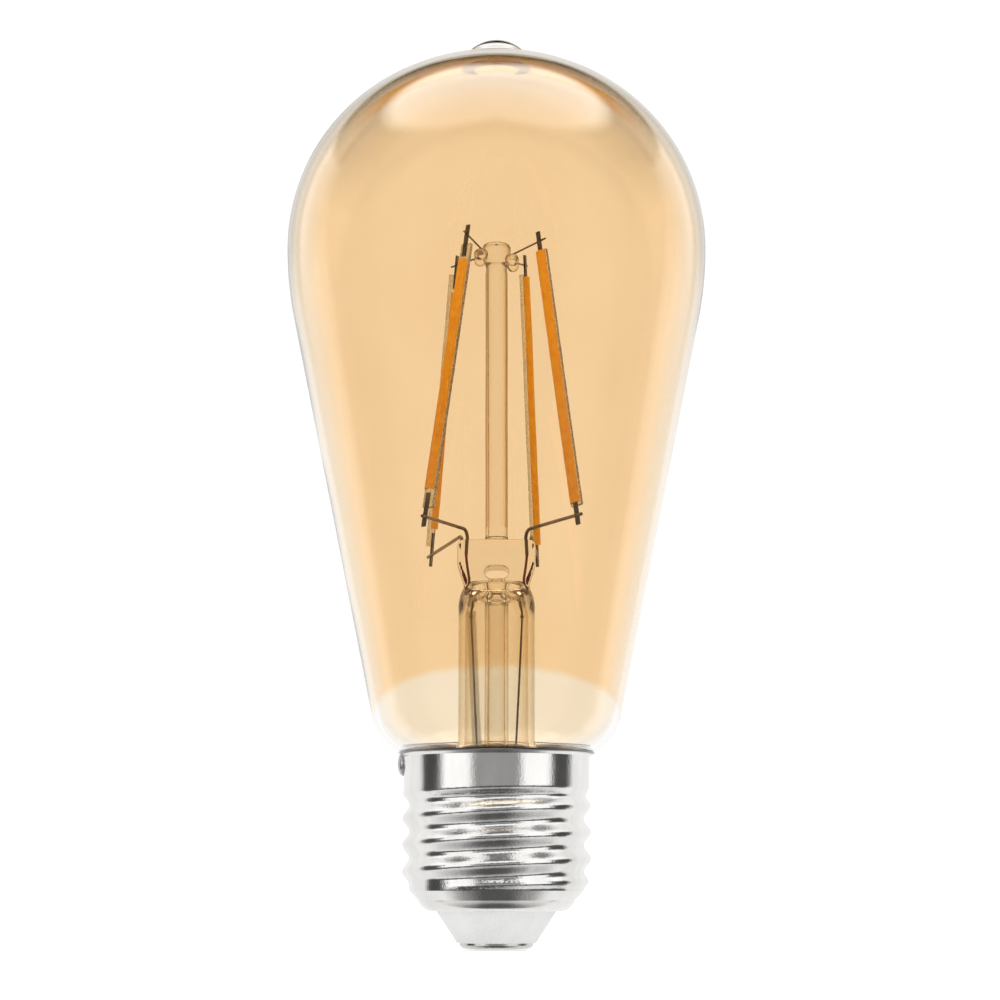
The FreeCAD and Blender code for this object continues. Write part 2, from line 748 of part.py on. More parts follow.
def filament(name):
    """One filament: clear strip, chips in a row, coat over them and a metal tab at each end."""
    place = filament_frame(name)
    strip = new_body(f"filament_strip_{name}")
    half = "strip_width / 2"
    strip_corners = [(f"-{half}", "0"), (half, "0"), (half, "strip_thick"), (f"-{half}", "strip_thick")]
    pad(strip, f"strip_pad_{name}", "XY_Plane", strip_corners, None, "filament_length",
        offset="-filament_length / 2")
    coat = new_body(f"filament_coat_{name}")
    wide = "coat_width / 2"
    slot = "chip_width / 2"
    coat_corners = [
        (f"-{wide}", "0"),
        (f"-{wide}", "-coat_height / 3"),
        (wide, "-coat_height / 3"),
        (wide, "0"),
        (slot, "0"),
        (slot, "-chip_thick"),
        (f"-{slot}", "-chip_thick"),
        (f"-{slot}", "0"),
    ]
    bare = "bare_end_left" if "left" in name else "bare_end_right"
    pad(coat, f"coat_pad_{name}", "XY_Plane", coat_corners, {1: ("coat_radius", 1)},
        f"filament_length - 2 * {bare}", offset=f"{bare} - filament_length / 2")
    count = int((size["filament_length"] - 2 * size["chip_margin"]) / size["chip_pitch"])
    chips = []
    for index in range(count):
        low = (index - count / 2) * size["chip_pitch"]
        corner = FreeCAD.Vector(-size["chip_width"] / 2, -size["chip_thick"], low)
        chips.append(Part.makeBox(size["chip_width"], size["chip_thick"], size["chip_length"], corner))
    row = document.addObject("Part::Feature", f"filament_chips_{name}")
    row.Label = f"filament_chips_{name}"
    row.Shape = Part.makeCompound(chips)
    pieces = [strip, coat, row]
    for end, sign in (("top", 1), ("bottom", -1)):
        tab = new_body(f"filament_tab_{end}_{name}")
        start = f"{sign} * (filament_length / 2 - tab_foot)"
        tip = f"{sign} * (filament_length / 2 + tab_length)"
        side = "tab_width / 2"
        low_end, high_end = (start, tip) if sign > 0 else (tip, start)
        tab_corners = [(f"-{side}", low_end), (side, low_end), (side, high_end), (f"-{side}", high_end)]
        pad(tab, f"tab_pad_{end}_{name}", "XZ_Plane", tab_corners, None, "tab_thick")
        pieces.append(tab)
    for piece in pieces:
        piece.Placement = place
    return pieces


def thread_radius(angle, height):
    """Outer radius of the rolled thread: a wave that climbs one pitch a turn and fades at both ends."""
    low = min(max((height - size["thread_bottom"]) / size["thread_fade"], 0), 1)
    high = min(max((size["thread_top"] - height) / size["thread_fade"], 0), 1)
    low = low * low * (3 - 2 * low)
    high = high * high * (3 - 2 * high)
    middle = (size["thread_crest"] + size["thread_root"]) / 2
    wave = (size["thread_crest"] - size["thread_root"]) / 2
    base = size["thread_root"] + (middle - size["thread_root"]) * low
    base += (size["skirt_radius"] - middle) * (1 - high)
    phase = 2 * math.pi * (height - size["thread_start"]) / size["thread_pitch"] - angle
    return base + wave * low * high * math.cos(phase)


def thread_face(inward):
    """Smooth face through the rolled thread, moved inwards by the sheet's thickness."""
    tall = size["thread_top"] - size["thread_bottom"]
    around = size["thread_stations"]
    rows = int(tall / size["thread_pitch"] * size["thread_rows_per_pitch"])
    grid = []
    for step in range(around + 1):
        angle = 2 * math.pi * (step % around) / around
        line = []
        for level in range(rows + 1):
            height = size["thread_bottom"] + tall * level / rows
            radius = thread_radius(angle, height) - inward
            line.append(FreeCAD.Vector(radius * math.cos(angle), radius * math.sin(angle), height))
        grid.append(line)
    surface = Part.BSplineSurface()
    surface.interpolate(grid)
    return surface.toShape()


def thread_ring():
    """Threaded band of the shell as a closed solid: outer and inner wave and two flat ends."""
    skins = [thread_face(0), thread_face(size["sheet_thick"])]
    rings = [sorted((edge for edge in skin.Edges if edge.Closed), key=lambda edge: edge.BoundBox.ZMin)
             for skin in skins]
    ends = []
    for outer, inner in zip(*rings):
        wires = [Part.Wire([outer]), Part.Wire([inner])]
        ends.append(Part.makeFace(wires, "Part::FaceMakerBullseye"))
    closed = Part.makeCompound(skins + ends)
    closed.sewShape(0.001)
    solid = Part.Solid(closed.Shells[0])
    return solid.reversed() if solid.Volume < 0 else solid


def cap_shell():
    """Screw shell rolled from plated sheet: curled lip, taper, thread, skirt and flared rim."""
    skirt = turned("cap_skirt", [
        ("skirt_radius", "thread_top"),
        ("skirt_radius", "skirt_seat"),
        ("skirt_wide", "skirt_top"),
        ("rim_radius", "skirt_top + rim_curl"),
        ("rim_radius", "rim_top"),
        ("rim_radius - sheet_thick", "rim_top"),
        ("rim_radius - sheet_thick", "skirt_top + rim_curl + sheet_thick / 2"),
        ("skirt_radius - sheet_thick", "skirt_top + sheet_thick / 2"),
        ("skirt_radius - sheet_thick", "thread_top"),
    ])
    taper = turned("cap_taper", [
        ("thread_root", "thread_bottom"),
        ("thread_root - sheet_thick", "thread_bottom"),
        ("taper_radius - sheet_thick", "taper_height + sheet_thick / 2"),
        ("lip_radius + lip_width", "lip_bottom + sheet_thick"),
        ("lip_radius", "lip_bottom + sheet_thick"),
        ("lip_radius", "lip_bottom"),
        ("lip_radius + lip_width", "lip_bottom"),
        ("taper_radius", "taper_height"),
    ], {2: ("taper_blend", -1), 6: ("taper_blend", 1)})
    document.recompute()
    shell = document.addObject("Part::Feature", "cap_shell")
    shell.Label = "cap_shell"
    shell.Shape = thread_ring().fuse([skirt.Shape, taper.Shape], 0.0001)
    return shell


def cap_insulator():
    """Pale moulded cone that the shell's lip is curled over; the contact disc sits under it."""
    corners = [
        ("insulator_bore", "contact_thick"),
        ("insulator_foot", "contact_thick"),
        ("lip_radius", "lip_bottom"),
        ("lip_radius", "lip_bottom + sheet_thick"),
        ("lip_radius + lip_width", "lip_bottom + sheet_thick"),
        ("insulator_flange", "taper_height + sheet_thick / 2"),
        ("insulator_flange", "insulator_top"),
        ("insulator_flange - insulator_wall", "insulator_top"),
        ("insulator_foot", "contact_thick + insulator_floor"),
        ("insulator_bore", "contact_thick + insulator_floor"),
    ]
    return turned("cap_insulator", corners)


def centre_contact():
    """Pressed contact disc with a flat land and rounded edge."""
    corners = [
        ("0", "0"),
        ("contact_land", "0"),
        ("contact_radius", "contact_rise"),
        ("contact_radius", "contact_thick"),
        ("0", "contact_thick"),
    ]
    return turned("centre_contact", corners, {1: ("contact_edge", 1)})


def cap_cement():
    """Cement between neck and skirt, left open where the side wire comes up."""
    inside = "neck_radius"
    outside = "skirt_radius - sheet_thick"
    corners = [(inside, "cement_bottom"), (outside, "cement_bottom"), (outside, "cement_top"),
               (inside, "cement_top")]
    ring = turned("cap_cement", corners, angle=360.0 - size["cement_gap"])
    gap_middle = 180.0 + size["cement_gap"] / 2
    turn = FreeCAD.Rotation(FreeCAD.Vector(0, 0, 1), gap_middle)
    ring.Placement = FreeCAD.Placement(FreeCAD.Vector(), turn)
    return ring


def side_solder():
    """Solder drop on the rim, where the side wire is joined to the shell."""
    drop = document.addObject("Part::Ellipsoid", "solder_drop")
    drop.setExpression("Radius1", tie("solder_tall"))
    drop.setExpression("Radius2", tie("solder_deep"))
    drop.setExpression("Radius3", tie("solder_wide"))
    drop.setExpression("Placement.Base.x", tie("-skirt_radius"))
    drop.setExpression("Placement.Base.z", tie("solder_height"))
    cap = new_body("solder_seat")
    corners = [
        ("0", "thread_top"),
        ("skirt_radius", "thread_top"),
        ("skirt_radius", "skirt_seat"),
        ("skirt_wide", "skirt_top"),
        ("rim_radius", "skirt_top + rim_curl"),
        ("rim_radius", "rim_top"),
        ("0", "rim_top"),
    ]
    revolve(cap, "solder_seat_turn", corners)
    return cut_out("side_solder", drop, cap)


def driver():
    """Driver board and the parts on it; the front carries the flat parts, the back the capacitor."""
    front = "-board_thick / 2"
    pieces = [block("driver_board", "board_width", "board_thick", "board_height",
                    ("-board_width / 2", front, "board_bottom"))]
    pieces.append(block("bridge_rectifier", "bridge_length", "package_thick", "package_height",
                        ("package_x", f"{front} - package_thick", "board_bottom + bridge_rise")))
    pieces.append(block("driver_chip", "driver_chip_length", "package_thick", "package_height",
                        ("package_x", f"{front} - package_thick", "board_bottom + driver_chip_rise")))
    pieces.append(block("radio_module", "radio_width", "radio_thick * 2", "radio_height",
                        ("radio_x", f"{front} - radio_thick * 2", "board_bottom + radio_rise")))
    face = size["board_thick"] / 2
    drums = (
        ("smoothing_capacitor", "capacitor_radius",
         ("capacitor_x - capacitor_length / 2", face + size["capacitor_radius"],
          "board_bottom + capacitor_radius + capacitor_rise"), (size["capacitor_length"], 0)),
        ("choke", "choke_radius", ("choke_x", face, "board_bottom + choke_radius + choke_rise"),
         (0, size["choke_height"])),
        ("fusible_resistor", "resistor_radius",
         ("resistor_x", face + size["resistor_radius"],
          "board_bottom + board_height - resistor_radius - resistor_drop"), (size["resistor_length"], 0)),
    )
    for label, radius, (x, y, z), (long_x, long_y) in drums:
        start = FreeCAD.Vector(number(x), y, number(z))
        pieces.append(post(label, radius, start, start + FreeCAD.Vector(long_x, long_y, 0)))
    return pieces


def board_sleeve():
    """Insulating sleeve that keeps the board's parts off the shell."""
    inside = "board_sleeve_radius - board_sleeve_wall"
    low = "board_bottom - board_sleeve_drop"
    high = "board_bottom + board_height"
    corners = [(inside, low), ("board_sleeve_radius", low), ("board_sleeve_radius", high), (inside, high)]
    return turned("board_sleeve", corners)


def contact_wire():
    """Wire from the board's lower edge down to the contact disc."""
    return post("contact_wire", "hook_wire_radius", FreeCAD.Vector(0, 0, size["contact_thick"]),
                FreeCAD.Vector(0, 0, size["board_bottom"]))


def shell_wire():
    """Wire from the board, up between neck and skirt, to the solder on the rim."""
    gap = (size["neck_radius"] + size["skirt_radius"] - size["sheet_thick"]) / 2
    board_edge = FreeCAD.Vector(number("-board_width / 2"), 0,
                                number("board_bottom + board_height - hook_drop"))
    elbow = FreeCAD.Vector(number("hook_gap - board_sleeve_radius"), 0, number("thread_top - hook_drop"))
    squeeze = FreeCAD.Vector(-gap, 0, size["neck_bottom"])
    rim = FreeCAD.Vector(-gap, 0, size["rim_top"] - size["hook_tuck"])
    runs = [
        post("shell_wire_low", "hook_wire_radius", board_edge, elbow),
        post("shell_wire_middle", "hook_wire_radius", elbow, squeeze),
        post("shell_wire_high", "hook_wire_radius", squeeze, rim),
    ]
    for name, point in (("shell_wire_elbow", elbow), ("shell_wire_squeeze", squeeze)):
        ball = document.addObject("Part::Sphere", name)
        ball.setExpression("Radius", tie("hook_wire_radius"))
        ball.Placement = FreeCAD.Placement(point, FreeCAD.Rotation())
        runs.append(ball)
    return fused("shell_wire", runs)


def build():
    """Every piece of the lamp, from the crown down to the contact."""
    pieces = [glass_bulb(), stem_flare(), exhaust_tube(), support_rod(), rod_button()]
    for name in FILAMENTS:
        pieces.append(rod_bead(name))
        pieces.append(anchor_wire(name))
        pieces.append(support_arm(name))
        pieces += filament(name)
    for side in ("left", "right"):
        pieces.append(seal_wires(side))
        pieces.append(lead_wire(side))
    pieces += [lead_sleeve(), cap_shell(), cap_insulator(), centre_contact(), cap_cement(), side_solder()]
    pieces += driver()
    pieces += [board_sleeve(), contact_wire(), shell_wire()]
    return pieces


def export(pieces):
    """Stop on any failed object, then write one file for each piece."""
    document.recompute()
    broken = [item.Name for item in document.Objects if {"Invalid", "Error"} & set(item.State)]
    if broken:
        raise RuntimeError(f"failed objects: {broken}")
    os.makedirs("parts", exist_ok=True)
    for piece in pieces:
        shape = piece.Shape
        if shape.isNull() or not shape.isValid() or not shape.Solids:
            raise RuntimeError(f"bad shape: {piece.Label}")
        shape.exportStep(f"parts/{piece.Label}.step")
        box = shape.BoundBox
        print(f"{piece.Label:32s} solids {len(shape.Solids):3d} volume {shape.Volume:10.2f} mm3"
              f"  z {box.ZMin:7.2f} to {box.ZMax:7.2f}")


put_in_sheet(DRIVING)
put_in_sheet(derived_sizes())
document.recompute()
export(build())
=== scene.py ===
import math

import bmesh
import bpy
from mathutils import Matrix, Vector


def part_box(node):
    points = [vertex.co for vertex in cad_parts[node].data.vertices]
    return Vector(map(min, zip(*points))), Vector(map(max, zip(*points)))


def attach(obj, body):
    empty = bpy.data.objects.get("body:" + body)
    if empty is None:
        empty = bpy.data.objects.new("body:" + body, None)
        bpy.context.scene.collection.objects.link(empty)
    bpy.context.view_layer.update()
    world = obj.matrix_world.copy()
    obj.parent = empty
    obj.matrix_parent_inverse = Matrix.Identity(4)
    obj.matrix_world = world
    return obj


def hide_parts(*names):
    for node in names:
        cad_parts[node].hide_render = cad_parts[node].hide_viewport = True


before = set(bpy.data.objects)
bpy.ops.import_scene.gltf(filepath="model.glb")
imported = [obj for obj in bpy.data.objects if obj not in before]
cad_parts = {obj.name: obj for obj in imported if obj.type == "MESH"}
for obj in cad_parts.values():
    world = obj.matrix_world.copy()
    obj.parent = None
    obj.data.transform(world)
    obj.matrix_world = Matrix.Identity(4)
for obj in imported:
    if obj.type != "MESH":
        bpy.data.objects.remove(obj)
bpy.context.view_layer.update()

scene = bpy.context.scene


# ---- Camera ----
# A long lens just above the table, close to the lamp and tipped up a little, so that the crown is seen
# from below and the cap almost level.
EYE_DISTANCE = 0.343
EYE_HEIGHT = 0.009
UPWARD_TIP = 8.86
LENS_LENGTH = 88.34
SIDE_SHIFT = 0.0035
camera = bpy.data.objects.new("camera", bpy.data.cameras.new("camera"))
scene.collection.objects.link(camera)
camera.location = (0, -EYE_DISTANCE, EYE_HEIGHT)
camera.rotation_euler = (math.radians(90 + UPWARD_TIP), 0, 0)
camera.data.sensor_width = 36
camera.data.lens = LENS_LENGTH
camera.data.shift_x = SIDE_SHIFT
camera.data.clip_start = 0.01
scene.camera = camera


# ---- Driver board and its parts ----
# A slim glass-fibre board stands in the screw shell. It is white lacquer over fibre, with moulded black
# packages, a sleeved can, a ferrite choke and a tinned shield soldered to it.
def finish(name, roughness, metallic=0.0):
    """A new surface finish with its own shader."""
    material = bpy.data.materials.new(f"lamp_{name}")
    material.use_nodes = True
    shader = material.node_tree.nodes["Principled BSDF"]
    shader.inputs["Roughness"].default_value = roughness
    shader.inputs["Metallic"].default_value = metallic
    return material


def shader_of(material):
    """The shader of a finish."""
    return material.node_tree.nodes["Principled BSDF"]


def feed(tree, socket, value):
    """Sets a socket to a number or a colour, or links it to another socket."""
    if isinstance(value, bpy.types.NodeSocket):
        tree.links.new(value, socket)
    elif isinstance(value, tuple) and len(value) == 3 and socket.type == "RGBA":
        socket.default_value = (*value, 1)
    else:
        socket.default_value = value


def grain(tree, scale, detail=2.0, stretch=(1, 1, 1)):
    """A pattern fixed to the piece; scale is in repeats per metre."""
    place = tree.nodes.new("ShaderNodeTexCoord")
    stretched = tree.nodes.new("ShaderNodeMapping")
    stretched.inputs["Scale"].default_value = stretch
    pattern = tree.nodes.new("ShaderNodeTexNoise")
    feed(tree, stretched.inputs["Vector"], place.outputs["Object"])
    feed(tree, pattern.inputs["Vector"], stretched.outputs["Vector"])
    pattern.inputs["Scale"].default_value = scale
    pattern.inputs["Detail"].default_value = detail
    return pattern.outputs[0]


def graded(tree, value, *stops):
    """A pattern's value turned to a colour or a number between the given stops."""
    ramp = tree.nodes.new("ShaderNodeValToRGB")
    points = ramp.color_ramp.elements
    while len(points) < len(stops):
        points.new(0.5)
    for point, (place, colour) in zip(points, stops):
        point.position = place
        point.color = (*colour, 1) if isinstance(colour, tuple) else (colour, colour, colour, 1)
    feed(tree, ramp.inputs[0], value)
    return ramp.outputs[0]


def maths(tree, operation, first, second=0.0, third=0.0):
    """One sum on sockets or numbers."""
    node = tree.nodes.new("ShaderNodeMath")
    node.operation = operation
    for socket, value in zip(node.inputs, (first, second, third)):
        feed(tree, socket, value)
    return node.outputs[0]


def blended(tree, share, first, second, kind="MIX"):
    """Two colours mixed, or multiplied, by a share."""
    node = tree.nodes.new("ShaderNodeMix")
    node.data_type = "RGBA"
    node.blend_type = kind
    colours = [socket for socket in node.inputs if socket.type == "RGBA"]
    feed(tree, node.inputs["Factor"], share)
    for socket, value in zip(colours, (first, second)):
        feed(tree, socket, value)
    return next(socket for socket in node.outputs if socket.type == "RGBA")


def relief(material, value, height):
    """Raises the surface by a pattern, in metres."""
    tree = material.node_tree
    bump = tree.nodes.new("ShaderNodeBump")
    bump.inputs["Distance"].default_value = height
    feed(tree, bump.inputs["Height"], value)
    feed(tree, shader_of(material).inputs["Normal"], bump.outputs["Normal"])


BROAD_GRAIN = 9


def speckled(name, dark, light, roughness, scale, height, metallic=0.0, spread=0.08, stretch=(1, 1, 1)):
    """A finish whose colour and gloss vary with one grain, and whose grain can be felt."""
    material = finish(name, roughness, metallic)
    tree = material.node_tree
    fine = grain(tree, scale, 3.0, stretch)
    broad = grain(tree, scale / BROAD_GRAIN, 2.0, stretch)
    mixed = maths(tree, "MULTIPLY_ADD", fine, 0.5, maths(tree, "MULTIPLY", broad, 0.5))
    feed(tree, shader_of(material).inputs["Base Color"], graded(tree, mixed, (0.36, dark), (0.64, light)))
    rough = graded(tree, mixed, (0.35, roughness - spread), (0.65, roughness + spread))
    feed(tree, shader_of(material).inputs["Roughness"], rough)
    relief(material, fine, height)
    return material


def dress(material, *nodes):
    """Puts a finish on CAD nodes."""
    for node in nodes:
        for slot in bpy.data.objects[node].material_slots:
            slot.material = material


dress(speckled("board", (0.66, 0.68, 0.62), (0.8, 0.82, 0.77), 0.45, 2600, 1.5e-5), "driver_board")
dress(speckled("package", (0.014, 0.014, 0.016), (0.035, 0.035, 0.04), 0.5, 5200, 2e-5),
      "bridge_rectifier", "driver_chip")
dress(speckled("can_sleeve", (0.02, 0.025, 0.06), (0.05, 0.06, 0.12), 0.3, 1800, 8e-6),
      "smoothing_capacitor")
dress(speckled("ferrite", (0.05, 0.035, 0.025), (0.14, 0.09, 0.055), 0.55, 3800, 3e-5, stretch=(1, 1, 4)),
      "choke")
dress(speckled("lacquer", (0.1, 0.26, 0.22), (0.17, 0.36, 0.3), 0.3, 2400, 1e-5), "fusible_resistor")
dress(speckled("shield_tin", (0.5, 0.5, 0.49), (0.68, 0.68, 0.67), 0.3, 2200, 1e-5, 1.0), "radio_module")
dress(speckled("insulating_film", (0.6, 0.56, 0.44), (0.74, 0.7, 0.58), 0.42, 1500, 1.5e-5), "board_sleeve")


# ---- Wires of drawn nickel ----
# Thin nickel wire, browned a little by the sealing flame, runs from the board to both contacts, up into
# the press, out of it to the four filaments, and from their tops to the glass beads.
wire_finish = speckled("drawn_nickel", (0.17, 0.125, 0.07), (0.42, 0.33, 0.2), 0.34, 2600, 1.2e-5, 1.0,
                       0.1, (1, 1, 0.2))
FILAMENTS = ("front_left", "front_right", "back_left", "back_right")
dress(wire_finish, "contact_wire", "shell_wire", "lead_wire_left", "lead_wire_right",
      *(f"support_arm_{name}" for name in FILAMENTS), *(f"anchor_wire_{name}" for name in FILAMENTS))


# ---- Seal wires and sleeve ----
# Inside the press the current goes through copper-clad wire, which turns brick red when the glass is
# pinched on to it. The left lead wears a sleeve of varnished woven glass.
dress(speckled("copper_clad", (0.22, 0.05, 0.025), (0.42, 0.13, 0.07), 0.42, 3200, 1e-5, 0.6),
      "seal_wires_left", "seal_wires_right")

sleeve_finish = finish("woven_sleeve", 0.6)
sleeve_tree = sleeve_finish.node_tree
SLEEVE_WEAVE = 2400
SLEEVE_SOLIDITY = 0.2
weave = maths(sleeve_tree, "MULTIPLY", grain(sleeve_tree, SLEEVE_WEAVE, 1.0, (1, 1, 1.6)),
              grain(sleeve_tree, SLEEVE_WEAVE, 1.0, (1, 1.6, 0.7)))
feed(sleeve_tree, shader_of(sleeve_finish).inputs["Base Color"],
     graded(sleeve_tree, weave, (0.12, (0.86, 0.68, 0.38)), (0.4, (0.98, 0.86, 0.6))))
feed(sleeve_tree, shader_of(sleeve_finish).inputs["Roughness"],
     graded(sleeve_tree, weave, (0.1, 0.3), (0.4, 0.5)))
shader_of(sleeve_finish).inputs["Alpha"].default_value = SLEEVE_SOLIDITY
relief(sleeve_finish, weave, 1e-5)
dress(sleeve_finish, "lead_sleeve")


# ---- Stem ----
# Soft clear glass: a flare tube closed by a flat press, the pump tube inside it, the rod that stands on
# the press, and the flame-rounded button with four beads that hold the top wires.
stem_glass = finish("stem_glass", 0.0)
stem_shader = shader_of(stem_glass)
stem_shader.inputs["Transmission Weight"].default_value = 1.0
stem_shader.inputs["IOR"].default_value = 1.5
stem_tree = stem_glass.node_tree


def edge_share(tree):
    """Nothing where the glass faces the eye, one where it is seen edge-on."""
    weight = tree.nodes.new("ShaderNodeLayerWeight")
    weight.inputs["Blend"].default_value = 0.5
    return weight.outputs["Facing"]


PRESS_TOP = 58.5
MM = 0.001
drawn = grain(stem_tree, 260, 2.0, (1, 1, 0.08))
stem_tint = graded(stem_tree, drawn, (0.3, (0.975, 0.95, 0.9)), (0.7, (1.0, 0.985, 0.95)))
# Painted shade: where the stem is seen edge-on, its glass colour goes grey-brown and then dark brown. A ramp
# on the facing value paints these dark rims on the flare and press. The rod and button above the press get a
# stronger ramp of their own.
painted_stem_rim_shade = graded(stem_tree, edge_share(stem_tree), (0.05, (1.0, 1.0, 1.0)), (0.3, (0.96, 0.91, 0.82)),
                   (0.5, (0.8, 0.7, 0.5)), (0.75, (0.4, 0.3, 0.15)), (1.0, (0.2, 0.14, 0.07)))
painted_rod_rim_shade = graded(stem_tree, edge_share(stem_tree), (0.0, (1.0, 1.0, 1.0)), (0.15, (0.97, 0.93, 0.86)),
                  (0.33, (0.8, 0.68, 0.48)), (0.5, (0.42, 0.31, 0.16)), (1.0, (0.16, 0.11, 0.05)))
stem_place = stem_tree.nodes.new("ShaderNodeTexCoord")
stem_apart = stem_tree.nodes.new("ShaderNodeSeparateXYZ")
feed(stem_tree, stem_apart.inputs[0], stem_place.outputs["Object"])
above_press = maths(stem_tree, "GREATER_THAN", stem_apart.outputs["Z"], PRESS_TOP * MM)
painted_stem_rim_shade = blended(stem_tree, above_press, painted_stem_rim_shade, painted_rod_rim_shade)
feed(stem_tree, stem_shader.inputs["Base Color"], blended(stem_tree, 1.0, stem_tint, painted_stem_rim_shade, "MULTIPLY"))
relief(stem_glass, drawn, 8e-6)

# Flame has run these pieces into one another, so their shapes are melted into one skin here. Each is first
# carried a little way into its neighbour, so that they meet.
BEAD_RADIUS = 0.95
BEAD_AWAY = (2.35, 1.75)
BEAD_HEIGHTS = {-1: 97.7, 1: 96.9}
MELT_CELL = 0.225
MELT_PASSES = 13
END_PUSHES = (("stem_flare", 0, 0), ("exhaust_tube", 0, 0.5),
              ("support_rod", -0.5, 0), ("rod_button", -0.3, 0))
END_BAND = 1e-5
stem_parts = bmesh.new()
for node, low_push, high_push in END_PUSHES:
    low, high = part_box(node)
    joined = bmesh.new()
    joined.from_mesh(bpy.data.objects[node].data)
    bmesh.ops.remove_doubles(joined, verts=joined.verts[:], dist=1e-7)
    for vert in joined.verts:
        if vert.co.z < low[2] + END_BAND:
            vert.co.z += low_push * MM
        elif vert.co.z > high[2] - END_BAND:
            vert.co.z += high_push * MM
    passed = bpy.data.meshes.new(node)
    joined.to_mesh(passed)
    joined.free()
    stem_parts.from_mesh(passed)
    bpy.data.meshes.remove(passed)
for side, height in BEAD_HEIGHTS.items():
    for depth in (-1, 1):
        ball = bmesh.ops.create_icosphere(stem_parts, subdivisions=4, radius=BEAD_RADIUS * MM)
        centre = Vector((side * BEAD_AWAY[0], depth * BEAD_AWAY[1], height)) * MM
        bmesh.ops.translate(stem_parts, verts=ball["verts"], vec=centre)
stem_data = bpy.data.meshes.new("melted_stem")
stem_parts.to_mesh(stem_data)
stem_parts.free()
stem = bpy.data.objects.new("melted_stem", stem_data)
scene.collection.objects.link(stem)
melt = stem.modifiers.new("melt", "REMESH")
melt.mode = "VOXEL"
melt.voxel_size = MELT_CELL * MM
melt.use_smooth_shade = True
ease = stem.modifiers.new("ease", "SMOOTH")
ease.factor = 0.5
ease.iterations = MELT_PASSES
stem.data = bpy.data.meshes.new_from_object(stem.evaluated_get(bpy.context.evaluated_depsgraph_get()))
stem.modifiers.clear()

# The pinch leaves the press fuller in its middle than at its sides and ends.
PRESS_MIDDLE = 53.4
PRESS_HALF = 5.2
PRESS_SIDE = 5.6
PRESS_SWELL = 0.25
for vert in stem.data.vertices:
    share = (vert.co.z / MM - PRESS_MIDDLE) / PRESS_HALF
    if abs(share) < 1:
        inward = max(0.0, 1 - (vert.co.x / (PRESS_SIDE * MM)) ** 2)
        vert.co.y *= 1 + PRESS_SWELL * (1 + math.cos(math.pi * share)) * inward
stem.data.materials.clear()
stem.data.materials.append(stem_glass)
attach(stem, "root")
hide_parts("stem_flare", "exhaust_tube", "support_rod", "rod_button",
            *(f"rod_bead_{name}" for name in FILAMENTS))


# ---- Filaments ----
# Each is a clear sapphire-like strip that carries a row of tiny dark chips under orange phosphor
# silicone, which is dispensed by needle and so has a slightly lumpy skin. Stamped tabs grip both ends.
phosphor = finish("phosphor_silicone", 0.42)
phosphor_tree = phosphor.node_tree
lumps = grain(phosphor_tree, 900, 3.0)
powder = grain(phosphor_tree, 9000, 1.0)
shade = maths(phosphor_tree, "MULTIPLY_ADD", powder, 0.45, maths(phosphor_tree, "MULTIPLY", lumps, 0.55))
feed(phosphor_tree, shader_of(phosphor).inputs["Base Color"],
     graded(phosphor_tree, shade, (0.34, (0.9, 0.36, 0.006)), (0.5, (1.0, 0.45, 0.01)),
            (0.66, (1.0, 0.52, 0.02))))
feed(phosphor_tree, shader_of(phosphor).inputs["Roughness"],
     graded(phosphor_tree, lumps, (0.3, 0.34), (0.7, 0.52)))
shader_of(phosphor).inputs["Subsurface Weight"].default_value = 0.25
shader_of(phosphor).inputs["Subsurface Radius"].default_value = (0.4, 0.16, 0.04)
shader_of(phosphor).inputs["Subsurface Scale"].default_value = 0.0008
shader_of(phosphor).inputs["Specular IOR Level"].default_value = 0.2
relief(phosphor, shade, 3e-5)

strip_clear = finish("clear_strip", 0.22)
strip_tree = strip_clear.node_tree
sawn = grain(strip_tree, 3000, 2.0, (1, 1, 0.35))
feed(strip_tree, shader_of(strip_clear).inputs["Base Color"],
     graded(strip_tree, sawn, (0.35, (0.93, 0.84, 0.6)), (0.65, (1.0, 0.95, 0.8))))
feed(strip_tree, shader_of(strip_clear).inputs["Roughness"],
     graded(strip_tree, sawn, (0.3, 0.12), (0.7, 0.4)))
shader_of(strip_clear).inputs["Transmission Weight"].default_value = 0.9
shader_of(strip_clear).inputs["IOR"].default_value = 1.6
relief(strip_clear, sawn, 2e-5)

chip_dark = speckled("chip", (0.05, 0.035, 0.02), (0.16, 0.1, 0.04), 0.25, 4200, 1e-5)
tab_plate = speckled("tab_plating", (0.11, 0.09, 0.06), (0.28, 0.23, 0.15), 0.4, 2400, 2e-5, 1.0, 0.12,
                     (1, 1, 0.5))
for name in FILAMENTS:
    dress(phosphor, f"filament_coat_{name}")
    dress(strip_clear, f"filament_strip_{name}")
    dress(chip_dark, f"filament_chips_{name}")
    dress(tab_plate, f"filament_tab_top_{name}", f"filament_tab_bottom_{name}")


# ---- Glass bulb ----
# A blown envelope of clear soda-lime glass with a thin amber coat that stops short of the neck, and a
# clear drop of glass on the crown where it was pumped and tipped off.
def first_point(mesh, x, z):
    """Starts an outline at a radius and a height in mm."""
    return bmesh.ops.create_vert(mesh, co=(x * MM, 0, z * MM))["vert"][0]


def line_to(mesh, tip, x, z):
    """Carries the outline straight on."""
    tip = bmesh.ops.extrude_vert_indiv(mesh, verts=[tip])["verts"][0]
    tip.co = (x * MM, 0, z * MM)
    return tip


def arc_to(mesh, tip, centre, x, z, steps):
    """Carries the outline round a centre as far as a point's direction."""
    middle = Vector((centre[0] * MM, 0, centre[1] * MM))
    start = math.atan2(tip.co.z - middle.z, tip.co.x - middle.x)
    finish_at = math.atan2(z * MM - middle.z, x * MM - middle.x)
    turn = (finish_at - start + math.pi) % (2 * math.pi) - math.pi
    made = bmesh.ops.spin(mesh, geom=[tip], cent=middle, axis=(0, -1, 0), angle=turn, steps=steps)
    return next(item for item in made["geom_last"] if isinstance(item, bmesh.types.BMVert))


